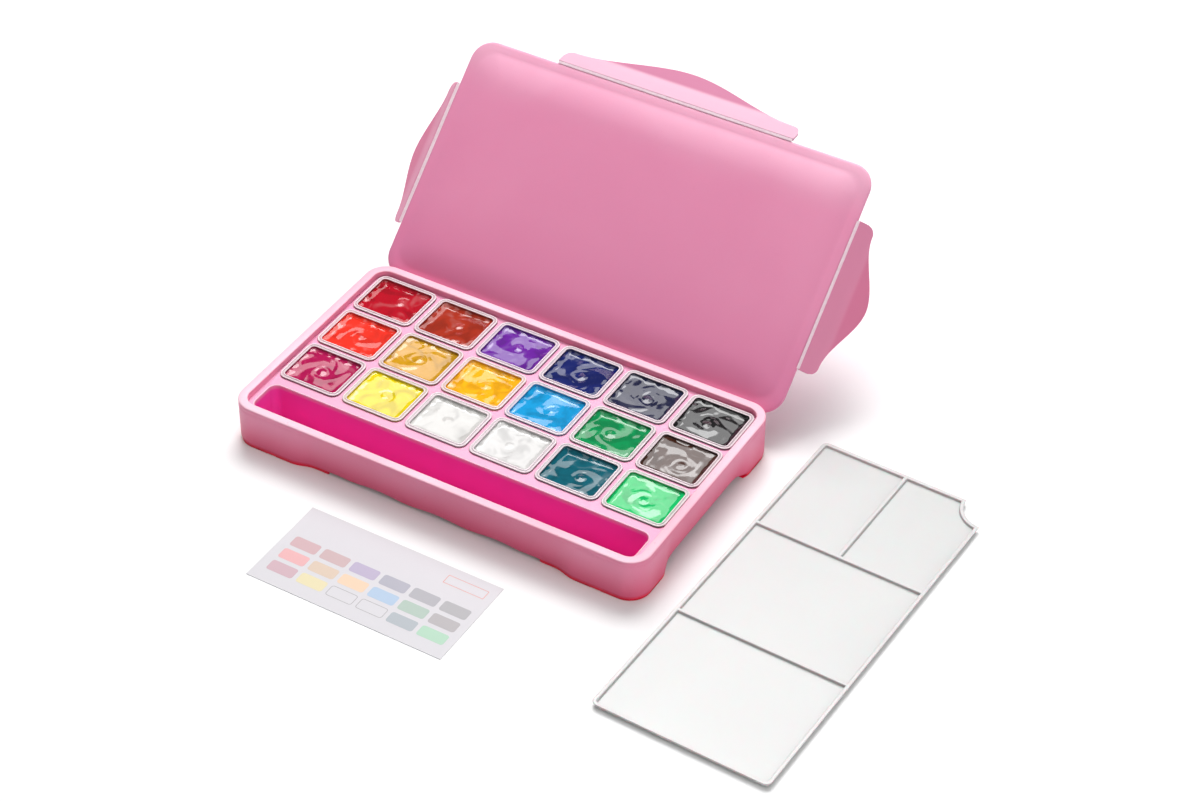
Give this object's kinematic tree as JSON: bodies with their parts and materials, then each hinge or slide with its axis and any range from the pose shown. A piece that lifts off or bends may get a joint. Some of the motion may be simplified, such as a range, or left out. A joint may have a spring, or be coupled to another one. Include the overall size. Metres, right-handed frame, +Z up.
{
  "type": "gouache paint set box",
  "caption": "Shallow pink plastic paint case with lift-out cups of gouache and a brush trough, a taken-off lid with folding latch flaps, a mixing palette and a colour card.",
  "frame": {"origin": "middle of the case's flat underside, on the surface that it stands on", "axes": "+Z up, +X to the right along the case's long side, +Y back towards the lid that stands behind the case"},
  "size_m": [0.4692, 0.4284, 0.1416],
  "materials": {
    "case_plastic": "satin pink moulding",
    "deck_plastic": "satin pink moulding, deeper pink in the trough",
    "base_plastic": "satin deep pink moulding",
    "lid_plastic": "satin pink moulding",
    "cup_plastic": "clear milky moulding",
    "palette_plastic": "white moulding",
    "card_stock": "coated card",
    "rose_gouache": "wet gouache",
    "lemon_gouache": "wet gouache",
    "white_left_gouache": "wet gouache",
    "white_right_gouache": "wet gouache",
    "teal_gouache": "wet gouache",
    "light_green_gouache": "wet gouache",
    "vermilion_gouache": "wet gouache",
    "ochre_gouache": "wet gouache",
    "orange_yellow_gouache": "wet gouache",
    "sky_blue_gouache": "wet gouache",
    "green_gouache": "wet gouache",
    "dark_brown_gouache": "wet gouache",
    "crimson_gouache": "wet gouache",
    "red_brown_gouache": "wet gouache",
    "violet_gouache": "wet gouache",
    "ultramarine_gouache": "wet gouache",
    "indigo_gouache": "wet gouache",
    "black_gouache": "wet gouache"
  },
  "bodies": {
    "case": {"case_shell": "case_plastic", "cup_deck": "deck_plastic", "base_panel": "base_plastic"},
    "rose_cup": {"cup_rose": "cup_plastic", "paint_rose": "rose_gouache"},
    "lemon_cup": {"cup_lemon": "cup_plastic", "paint_lemon": "lemon_gouache"},
    "white_left_cup": {"cup_white_left": "cup_plastic", "paint_white_left": "white_left_gouache"},
    "white_right_cup": {"cup_white_right": "cup_plastic", "paint_white_right": "white_right_gouache"},
    "teal_cup": {"cup_teal": "cup_plastic", "paint_teal": "teal_gouache"},
    "light_green_cup": {"cup_light_green": "cup_plastic", "paint_light_green": "light_green_gouache"},
    "vermilion_cup": {"cup_vermilion": "cup_plastic", "paint_vermilion": "vermilion_gouache"},
    "ochre_cup": {"cup_ochre": "cup_plastic", "paint_ochre": "ochre_gouache"},
    "orange_yellow_cup": {"cup_orange_yellow": "cup_plastic", "paint_orange_yellow": "orange_yellow_gouache"},
    "sky_blue_cup": {"cup_sky_blue": "cup_plastic", "paint_sky_blue": "sky_blue_gouache"},
    "green_cup": {"cup_green": "cup_plastic", "paint_green": "green_gouache"},
    "dark_brown_cup": {"cup_dark_brown": "cup_plastic", "paint_dark_brown": "dark_brown_gouache"},
    "crimson_cup": {"cup_crimson": "cup_plastic", "paint_crimson": "crimson_gouache"},
    "red_brown_cup": {"cup_red_brown": "cup_plastic", "paint_red_brown": "red_brown_gouache"},
    "violet_cup": {"cup_violet": "cup_plastic", "paint_violet": "violet_gouache"},
    "ultramarine_cup": {"cup_ultramarine": "cup_plastic", "paint_ultramarine": "ultramarine_gouache"},
    "indigo_cup": {"cup_indigo": "cup_plastic", "paint_indigo": "indigo_gouache"},
    "black_cup": {"cup_black": "cup_plastic", "paint_black": "black_gouache"},
    "front_flap": {"front_flap": "lid_plastic"},
    "lid": {"lid_shell": "lid_plastic"},
    "rear_flap": {"rear_flap": "lid_plastic"},
    "left_flap": {"left_flap": "lid_plastic"},
    "right_flap": {"right_flap": "lid_plastic"},
    "palette": {"palette": "palette_plastic"},
    "colour_card": {"colour_card": "card_stock"}
  },
  "joints": [
    {"name": "rose_cup_lift", "type": "slide", "parent": "case", "child": "rose_cup", "axis": [0, 0, 1], "range_m": [0, 0.04]},
    {"name": "lemon_cup_lift", "type": "slide", "parent": "case", "child": "lemon_cup", "axis": [0, 0, 1], "range_m": [0, 0.04]},
    {"name": "white_left_cup_lift", "type": "slide", "parent": "case", "child": "white_left_cup", "axis": [0, 0, 1], "range_m": [0, 0.04]},
    {"name": "white_right_cup_lift", "type": "slide", "parent": "case", "child": "white_right_cup", "axis": [0, 0, 1], "range_m": [0, 0.04]},
    {"name": "teal_cup_lift", "type": "slide", "parent": "case", "child": "teal_cup", "axis": [0, 0, 1], "range_m": [0, 0.04]},
    {"name": "light_green_cup_lift", "type": "slide", "parent": "case", "child": "light_green_cup", "axis": [0, 0, 1], "range_m": [0, 0.04]},
    {"name": "vermilion_cup_lift", "type": "slide", "parent": "case", "child": "vermilion_cup", "axis": [0, 0, 1], "range_m": [0, 0.04]},
    {"name": "ochre_cup_lift", "type": "slide", "parent": "case", "child": "ochre_cup", "axis": [0, 0, 1], "range_m": [0, 0.04]},
    {"name": "orange_yellow_cup_lift", "type": "slide", "parent": "case", "child": "orange_yellow_cup", "axis": [0, 0, 1], "range_m": [0, 0.04]},
    {"name": "sky_blue_cup_lift", "type": "slide", "parent": "case", "child": "sky_blue_cup", "axis": [0, 0, 1], "range_m": [0, 0.04]},
    {"name": "green_cup_lift", "type": "slide", "parent": "case", "child": "green_cup", "axis": [0, 0, 1], "range_m": [0, 0.04]},
    {"name": "dark_brown_cup_lift", "type": "slide", "parent": "case", "child": "dark_brown_cup", "axis": [0, 0, 1], "range_m": [0, 0.04]},
    {"name": "crimson_cup_lift", "type": "slide", "parent": "case", "child": "crimson_cup", "axis": [0, 0, 1], "range_m": [0, 0.04]},
    {"name": "red_brown_cup_lift", "type": "slide", "parent": "case", "child": "red_brown_cup", "axis": [0, 0, 1], "range_m": [0, 0.04]},
    {"name": "violet_cup_lift", "type": "slide", "parent": "case", "child": "violet_cup", "axis": [0, 0, 1], "range_m": [0, 0.04]},
    {"name": "ultramarine_cup_lift", "type": "slide", "parent": "case", "child": "ultramarine_cup", "axis": [0, 0, 1], "range_m": [0, 0.04]},
    {"name": "indigo_cup_lift", "type": "slide", "parent": "case", "child": "indigo_cup", "axis": [0, 0, 1], "range_m": [0, 0.04]},
    {"name": "black_cup_lift", "type": "slide", "parent": "case", "child": "black_cup", "axis": [0, 0, 1], "range_m": [0, 0.04]},
    {"name": "lid_lift", "type": "slide", "parent": "case", "child": "front_flap", "axis": [0, 0, 1], "range_m": [0, 0.06]},
    {"name": "lid_tilt", "type": "hinge", "parent": "front_flap", "child": "lid", "pos_m": [0, 0.08682, 0.02162], "axis": [1, 0, 0], "range_deg": [0, 40]},
    {"name": "rear_flap_fold", "type": "hinge", "parent": "lid", "child": "rear_flap", "pos_m": [0, 0.21726, 0.13784], "axis": [-1, 0, 0], "range_deg": [-41, 49]},
    {"name": "left_flap_fold", "type": "hinge", "parent": "lid", "child": "left_flap", "pos_m": [-0.1517, 0.15204, 0.07973], "axis": [0, -0.7466, -0.6652], "range_deg": [-50, 40]},
    {"name": "right_flap_fold", "type": "hinge", "parent": "lid", "child": "right_flap", "pos_m": [0.1517, 0.15204, 0.07973], "axis": [0, 0.7466, 0.6652], "range_deg": [-47, 43]},
    {"name": "palette_lift", "type": "slide", "parent": "case", "child": "palette", "axis": [0, 0, 1], "range_m": [0, 0.05]},
    {"name": "colour_card_lift", "type": "slide", "parent": "case", "child": "colour_card", "axis": [0, 0, 1], "range_m": [0, 0.05]}
  ]
}
